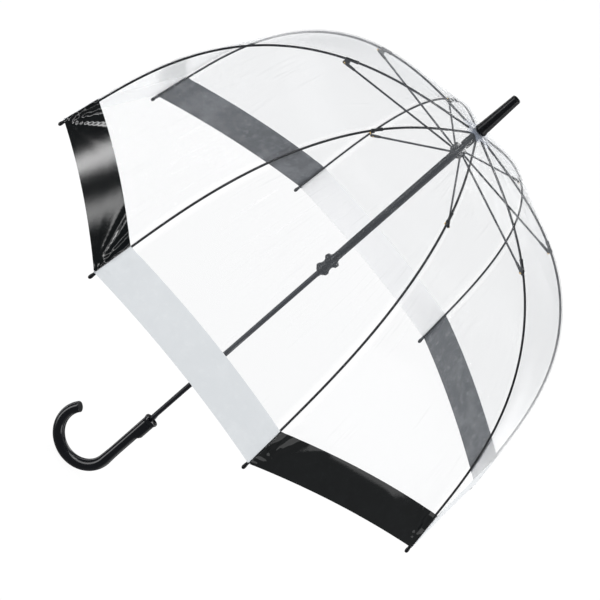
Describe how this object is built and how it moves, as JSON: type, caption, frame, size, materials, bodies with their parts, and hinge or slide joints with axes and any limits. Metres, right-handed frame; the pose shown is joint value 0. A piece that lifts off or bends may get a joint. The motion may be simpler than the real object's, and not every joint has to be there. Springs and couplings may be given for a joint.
{
  "type": "stick umbrella",
  "caption": "Full-length stick umbrella with a deep clear dome canopy, black and silver border bands, a long sliding runner and a crook handle; it folds to a slim bundle.",
  "frame": {"origin": "on the shaft's axis, in the middle of the straight hand grip", "axes": "+Z along the shaft towards the ferrule, -X towards the side the crook's hook opens on"},
  "size_m": [0.7956, 0.7956, 0.941],
  "materials": {
    "clear_film": "glossy",
    "black_film": "glossy",
    "silver_film": "satin",
    "crown_film": "satin",
    "fibreglass": "satin",
    "dark_steel": "satin",
    "black_plastic": "satin",
    "gloss_black": "glossy"
  },
  "bodies": {
    "root": {"shaft": "dark_steel", "ferrule": "black_plastic", "top_notch": "black_plastic", "notch_wire": "dark_steel", "crown_patch": "crown_film", "handle": "gloss_black", "handle_collar": "gloss_black"},
    "runner": {"runner_head": "black_plastic", "runner_sleeve": "black_plastic", "runner_grip": "black_plastic"},
    "rib_inner_1": {"rib_1_inner": "fibreglass"},
    "rib_outer_1": {"rib_1_outer": "fibreglass", "rib_1_tip": "black_plastic"},
    "stretcher_arm_1": {"stretcher_1": "dark_steel"},
    "rib_inner_2": {"rib_2_inner": "fibreglass"},
    "rib_outer_2": {"rib_2_outer": "fibreglass", "rib_2_tip": "black_plastic"},
    "stretcher_arm_2": {"stretcher_2": "dark_steel"},
    "rib_inner_3": {"rib_3_inner": "fibreglass"},
    "rib_outer_3": {"rib_3_outer": "fibreglass", "rib_3_tip": "black_plastic"},
    "stretcher_arm_3": {"stretcher_3": "dark_steel"},
    "rib_inner_4": {"rib_4_inner": "fibreglass"},
    "rib_outer_4": {"rib_4_outer": "fibreglass", "rib_4_tip": "black_plastic"},
    "stretcher_arm_4": {"stretcher_4": "dark_steel"},
    "rib_inner_5": {"rib_5_inner": "fibreglass"},
    "rib_outer_5": {"rib_5_outer": "fibreglass", "rib_5_tip": "black_plastic"},
    "stretcher_arm_5": {"stretcher_5": "dark_steel"},
    "rib_inner_6": {"rib_6_inner": "fibreglass"},
    "rib_outer_6": {"rib_6_outer": "fibreglass", "rib_6_tip": "black_plastic"},
    "stretcher_arm_6": {"stretcher_6": "dark_steel"},
    "rib_inner_7": {"rib_7_inner": "fibreglass"},
    "rib_outer_7": {"rib_7_outer": "fibreglass", "rib_7_tip": "black_plastic"},
    "stretcher_arm_7": {"stretcher_7": "dark_steel"},
    "rib_inner_8": {"rib_8_inner": "fibreglass"},
    "rib_outer_8": {"rib_8_outer": "fibreglass", "rib_8_tip": "black_plastic"},
    "stretcher_arm_8": {"stretcher_8": "dark_steel"},
    "gore_upper_1": {"canopy_panel_1": "clear_film"},
    "gore_lower_1": {"border_band_1": "black_film"},
    "gore_upper_2": {"canopy_panel_2": "clear_film"},
    "gore_lower_2": {"border_band_2": "silver_film"},
    "gore_upper_3": {"canopy_panel_3": "clear_film"},
    "gore_lower_3": {"border_band_3": "black_film"},
    "gore_upper_4": {"canopy_panel_4": "clear_film"},
    "gore_lower_4": {"border_band_4": "silver_film"},
    "gore_upper_5": {"canopy_panel_5": "clear_film"},
    "gore_lower_5": {"border_band_5": "black_film"},
    "gore_upper_6": {"canopy_panel_6": "clear_film"},
    "gore_lower_6": {"border_band_6": "silver_film"},
    "gore_upper_7": {"canopy_panel_7": "clear_film"},
    "gore_lower_7": {"border_band_7": "black_film"},
    "gore_upper_8": {"canopy_panel_8": "clear_film"},
    "gore_lower_8": {"border_band_8": "silver_film"},
    "upper_catch_spring": {"upper_catch": "dark_steel"},
    "lower_catch_spring": {"lower_catch": "dark_steel"}
  },
  "joints": [
    {"name": "runner_slide", "type": "slide", "parent": "root", "child": "runner", "axis": [0, 0, -1], "range_m": [0, 0.37296], "deforming": ["canopy_panel_1", "border_band_1", "canopy_panel_2", "border_band_2", "canopy_panel_3", "border_band_3", "canopy_panel_4", "border_band_4", "canopy_panel_5", "border_band_5", "canopy_panel_6", "border_band_6", "canopy_panel_7", "border_band_7", "canopy_panel_8", "border_band_8"]},
    {"name": "rib_1_crown_hinge", "type": "hinge", "parent": "root", "child": "rib_inner_1", "pos_m": [0.00785, 0.00325, 0.74779], "axis": [-0.3827, 0.9239, 0], "range_deg": [0, 73.54]},
    {"name": "rib_1_knee", "type": "hinge", "parent": "rib_inner_1", "child": "rib_outer_1", "pos_m": [0.19573, 0.08107, 0.69495], "axis": [-0.3827, 0.9239, 0], "range_deg": [-43.85, 0]},
    {"name": "stretcher_1_hinge", "type": "hinge", "parent": "runner", "child": "stretcher_arm_1", "pos_m": [0.00683, 0.00835, 0.71], "axis": [-0.3827, 0.9239, 0], "range_deg": [-94.74, 0]},
    {"name": "rib_2_crown_hinge", "type": "hinge", "parent": "root", "child": "rib_inner_2", "pos_m": [0.00325, 0.00785, 0.74779], "axis": [-0.9239, 0.3827, 0], "range_deg": [0, 73.54]},
    {"name": "rib_2_knee", "type": "hinge", "parent": "rib_inner_2", "child": "rib_outer_2", "pos_m": [0.08107, 0.19573, 0.69495], "axis": [-0.9239, 0.3827, 0], "range_deg": [-43.85, 0]},
    {"name": "stretcher_2_hinge", "type": "hinge", "parent": "runner", "child": "stretcher_arm_2", "pos_m": [-0.00108, 0.01073, 0.71], "axis": [-0.9239, 0.3827, 0], "range_deg": [-94.74, 0]},
    {"name": "rib_3_crown_hinge", "type": "hinge", "parent": "root", "child": "rib_inner_3", "pos_m": [-0.00325, 0.00785, 0.74779], "axis": [-0.9239, -0.3827, 0], "range_deg": [0, 73.54]},
    {"name": "rib_3_knee", "type": "hinge", "parent": "rib_inner_3", "child": "rib_outer_3", "pos_m": [-0.08107, 0.19573, 0.69495], "axis": [-0.9239, -0.3827, 0], "range_deg": [-43.85, 0]},
    {"name": "stretcher_3_hinge", "type": "hinge", "parent": "runner", "child": "stretcher_arm_3", "pos_m": [-0.00835, 0.00683, 0.71], "axis": [-0.9239, -0.3827, 0], "range_deg": [-94.74, 0]},
    {"name": "rib_4_crown_hinge", "type": "hinge", "parent": "root", "child": "rib_inner_4", "pos_m": [-0.00785, 0.00325, 0.74779], "axis": [-0.3827, -0.9239, 0], "range_deg": [0, 73.54]},
    {"name": "rib_4_knee", "type": "hinge", "parent": "rib_inner_4", "child": "rib_outer_4", "pos_m": [-0.19573, 0.08107, 0.69495], "axis": [-0.3827, -0.9239, 0], "range_deg": [-43.85, 0]},
    {"name": "stretcher_4_hinge", "type": "hinge", "parent": "runner", "child": "stretcher_arm_4", "pos_m": [-0.01073, -0.00108, 0.71], "axis": [-0.3827, -0.9239, 0], "range_deg": [-94.74, 0]},
    {"name": "rib_5_crown_hinge", "type": "hinge", "parent": "root", "child": "rib_inner_5", "pos_m": [-0.00785, -0.00325, 0.74779], "axis": [0.3827, -0.9239, 0], "range_deg": [0, 73.54]},
    {"name": "rib_5_knee", "type": "hinge", "parent": "rib_inner_5", "child": "rib_outer_5", "pos_m": [-0.19573, -0.08107, 0.69495], "axis": [0.3827, -0.9239, 0], "range_deg": [-43.85, 0]},
    {"name": "stretcher_5_hinge", "type": "hinge", "parent": "runner", "child": "stretcher_arm_5", "pos_m": [-0.00683, -0.00835, 0.71], "axis": [0.3827, -0.9239, 0], "range_deg": [-94.74, 0]},
    {"name": "rib_6_crown_hinge", "type": "hinge", "parent": "root", "child": "rib_inner_6", "pos_m": [-0.00325, -0.00785, 0.74779], "axis": [0.9239, -0.3827, 0], "range_deg": [0, 73.54]},
    {"name": "rib_6_knee", "type": "hinge", "parent": "rib_inner_6", "child": "rib_outer_6", "pos_m": [-0.08107, -0.19573, 0.69495], "axis": [0.9239, -0.3827, 0], "range_deg": [-43.85, 0]},
    {"name": "stretcher_6_hinge", "type": "hinge", "parent": "runner", "child": "stretcher_arm_6", "pos_m": [0.00108, -0.01073, 0.71], "axis": [0.9239, -0.3827, 0], "range_deg": [-94.74, 0]},
    {"name": "rib_7_crown_hinge", "type": "hinge", "parent": "root", "child": "rib_inner_7", "pos_m": [0.00325, -0.00785, 0.74779], "axis": [0.9239, 0.3827, 0], "range_deg": [0, 73.54]},
    {"name": "rib_7_knee", "type": "hinge", "parent": "rib_inner_7", "child": "rib_outer_7", "pos_m": [0.08107, -0.19573, 0.69495], "axis": [0.9239, 0.3827, 0], "range_deg": [-43.85, 0]},
    {"name": "stretcher_7_hinge", "type": "hinge", "parent": "runner", "child": "stretcher_arm_7", "pos_m": [0.00835, -0.00683, 0.71], "axis": [0.9239, 0.3827, 0], "range_deg": [-94.74, 0]},
    {"name": "rib_8_crown_hinge", "type": "hinge", "parent": "root", "child": "rib_inner_8", "pos_m": [0.00785, -0.00325, 0.74779], "axis": [0.3827, 0.9239, 0], "range_deg": [0, 73.54]},
    {"name": "rib_8_knee", "type": "hinge", "parent": "rib_inner_8", "child": "rib_outer_8", "pos_m": [0.19573, -0.08107, 0.69495], "axis": [0.3827, 0.9239, 0], "range_deg": [-43.85, 0]},
    {"name": "stretcher_8_hinge", "type": "hinge", "parent": "runner", "child": "stretcher_arm_8", "pos_m": [0.01073, 0.00108, 0.71], "axis": [0.3827, 0.9239, 0], "range_deg": [-94.74, 0]},
    {"name": "gore_1_crown_fold", "type": "hinge", "parent": "root", "child": "gore_upper_1", "pos_m": [0.00717, 0.00717, 0.75069], "axis": [-0.7071, 0.7071, 0], "range_deg": [0, 64.88]},
    {"name": "gore_1_middle_fold", "type": "hinge", "parent": "gore_upper_1", "child": "gore_lower_1", "pos_m": [0.19672, 0.19672, 0.6358], "axis": [-0.7071, 0.7071, 0], "range_deg": [-44.19, 0]},
    {"name": "gore_2_crown_fold", "type": "hinge", "parent": "root", "child": "gore_upper_2", "pos_m": [0, 0.01014, 0.75069], "axis": [-1, 0, 0], "range_deg": [0, 64.88]},
    {"name": "gore_2_middle_fold", "type": "hinge", "parent": "gore_upper_2", "child": "gore_lower_2", "pos_m": [0, 0.2782, 0.6358], "axis": [-1, 0, 0], "range_deg": [-44.19, 0]},
    {"name": "gore_3_crown_fold", "type": "hinge", "parent": "root", "child": "gore_upper_3", "pos_m": [-0.00717, 0.00717, 0.75069], "axis": [-0.7071, -0.7071, 0], "range_deg": [0, 64.88]},
    {"name": "gore_3_middle_fold", "type": "hinge", "parent": "gore_upper_3", "child": "gore_lower_3", "pos_m": [-0.19672, 0.19672, 0.6358], "axis": [-0.7071, -0.7071, 0], "range_deg": [-44.19, 0]},
    {"name": "gore_4_crown_fold", "type": "hinge", "parent": "root", "child": "gore_upper_4", "pos_m": [-0.01014, 0, 0.75069], "axis": [0, -1, 0], "range_deg": [0, 64.88]},
    {"name": "gore_4_middle_fold", "type": "hinge", "parent": "gore_upper_4", "child": "gore_lower_4", "pos_m": [-0.2782, 0, 0.6358], "axis": [0, -1, 0], "range_deg": [-44.19, 0]},
    {"name": "gore_5_crown_fold", "type": "hinge", "parent": "root", "child": "gore_upper_5", "pos_m": [-0.00717, -0.00717, 0.75069], "axis": [0.7071, -0.7071, 0], "range_deg": [0, 64.88]},
    {"name": "gore_5_middle_fold", "type": "hinge", "parent": "gore_upper_5", "child": "gore_lower_5", "pos_m": [-0.19672, -0.19672, 0.6358], "axis": [0.7071, -0.7071, 0], "range_deg": [-44.19, 0]},
    {"name": "gore_6_crown_fold", "type": "hinge", "parent": "root", "child": "gore_upper_6", "pos_m": [0, -0.01014, 0.75069], "axis": [1, 0, 0], "range_deg": [0, 64.88]},
    {"name": "gore_6_middle_fold", "type": "hinge", "parent": "gore_upper_6", "child": "gore_lower_6", "pos_m": [0, -0.2782, 0.6358], "axis": [1, 0, 0], "range_deg": [-44.19, 0]},
    {"name": "gore_7_crown_fold", "type": "hinge", "parent": "root", "child": "gore_upper_7", "pos_m": [0.00717, -0.00717, 0.75069], "axis": [0.7071, 0.7071, 0], "range_deg": [0, 64.88]},
    {"name": "gore_7_middle_fold", "type": "hinge", "parent": "gore_upper_7", "child": "gore_lower_7", "pos_m": [0.19672, -0.19672, 0.6358], "axis": [0.7071, 0.7071, 0], "range_deg": [-44.19, 0]},
    {"name": "gore_8_crown_fold", "type": "hinge", "parent": "root", "child": "gore_upper_8", "pos_m": [0.01014, 0, 0.75069], "axis": [0, 1, 0], "range_deg": [0, 64.88]},
    {"name": "gore_8_middle_fold", "type": "hinge", "parent": "gore_upper_8", "child": "gore_lower_8", "pos_m": [0.2782, 0, 0.6358], "axis": [0, 1, 0], "range_deg": [-44.19, 0]},
    {"name": "upper_catch_press", "type": "slide", "parent": "root", "child": "upper_catch_spring", "axis": [-1, 0, 0], "range_m": [0, 0.0012], "stiffness_N_per_m": 1500, "springref_m": -0.001},
    {"name": "lower_catch_press", "type": "slide", "parent": "root", "child": "lower_catch_spring", "axis": [-1, 0, 0], "range_m": [0, 0.0012], "stiffness_N_per_m": 1500, "springref_m": -0.001}
  ],
  "couplings": [
    {"joint": "rib_1_crown_hinge", "follows": "runner_slide", "rad_per_m": 3.4406},
    {"joint": "rib_1_knee", "follows": "runner_slide", "rad_per_m": -2.0511},
    {"joint": "stretcher_1_hinge", "follows": "runner_slide", "rad_per_m": -4.4327},
    {"joint": "rib_2_crown_hinge", "follows": "runner_slide", "rad_per_m": 3.4406},
    {"joint": "rib_2_knee", "follows": "runner_slide", "rad_per_m": -2.0511},
    {"joint": "stretcher_2_hinge", "follows": "runner_slide", "rad_per_m": -4.4327},
    {"joint": "rib_3_crown_hinge", "follows": "runner_slide", "rad_per_m": 3.4406},
    {"joint": "rib_3_knee", "follows": "runner_slide", "rad_per_m": -2.0511},
    {"joint": "stretcher_3_hinge", "follows": "runner_slide", "rad_per_m": -4.4327},
    {"joint": "rib_4_crown_hinge", "follows": "runner_slide", "rad_per_m": 3.4406},
    {"joint": "rib_4_knee", "follows": "runner_slide", "rad_per_m": -2.0511},
    {"joint": "stretcher_4_hinge", "follows": "runner_slide", "rad_per_m": -4.4327},
    {"joint": "rib_5_crown_hinge", "follows": "runner_slide", "rad_per_m": 3.4406},
    {"joint": "rib_5_knee", "follows": "runner_slide", "rad_per_m": -2.0511},
    {"joint": "stretcher_5_hinge", "follows": "runner_slide", "rad_per_m": -4.4327},
    {"joint": "rib_6_crown_hinge", "follows": "runner_slide", "rad_per_m": 3.4406},
    {"joint": "rib_6_knee", "follows": "runner_slide", "rad_per_m": -2.0511},
    {"joint": "stretcher_6_hinge", "follows": "runner_slide", "rad_per_m": -4.4327},
    {"joint": "rib_7_crown_hinge", "follows": "runner_slide", "rad_per_m": 3.4406},
    {"joint": "rib_7_knee", "follows": "runner_slide", "rad_per_m": -2.0511},
    {"joint": "stretcher_7_hinge", "follows": "runner_slide", "rad_per_m": -4.4327},
    {"joint": "rib_8_crown_hinge", "follows": "runner_slide", "rad_per_m": 3.4406},
    {"joint": "rib_8_knee", "follows": "runner_slide", "rad_per_m": -2.0511},
    {"joint": "stretcher_8_hinge", "follows": "runner_slide", "rad_per_m": -4.4327},
    {"joint": "gore_1_crown_fold", "follows": "runner_slide", "rad_per_m": 3.0354},
    {"joint": "gore_1_middle_fold", "follows": "runner_slide", "rad_per_m": -2.0669},
    {"joint": "gore_2_crown_fold", "follows": "runner_slide", "rad_per_m": 3.0354},
    {"joint": "gore_2_middle_fold", "follows": "runner_slide", "rad_per_m": -2.0669},
    {"joint": "gore_3_crown_fold", "follows": "runner_slide", "rad_per_m": 3.0354},
    {"joint": "gore_3_middle_fold", "follows": "runner_slide", "rad_per_m": -2.0669},
    {"joint": "gore_4_crown_fold", "follows": "runner_slide", "rad_per_m": 3.0354},
    {"joint": "gore_4_middle_fold", "follows": "runner_slide", "rad_per_m": -2.0669},
    {"joint": "gore_5_crown_fold", "follows": "runner_slide", "rad_per_m": 3.0354},
    {"joint": "gore_5_middle_fold", "follows": "runner_slide", "rad_per_m": -2.0669},
    {"joint": "gore_6_crown_fold", "follows": "runner_slide", "rad_per_m": 3.0354},
    {"joint": "gore_6_middle_fold", "follows": "runner_slide", "rad_per_m": -2.0669},
    {"joint": "gore_7_crown_fold", "follows": "runner_slide", "rad_per_m": 3.0354},
    {"joint": "gore_7_middle_fold", "follows": "runner_slide", "rad_per_m": -2.0669},
    {"joint": "gore_8_crown_fold", "follows": "runner_slide", "rad_per_m": 3.0354},
    {"joint": "gore_8_middle_fold", "follows": "runner_slide", "rad_per_m": -2.0669}
  ]
}
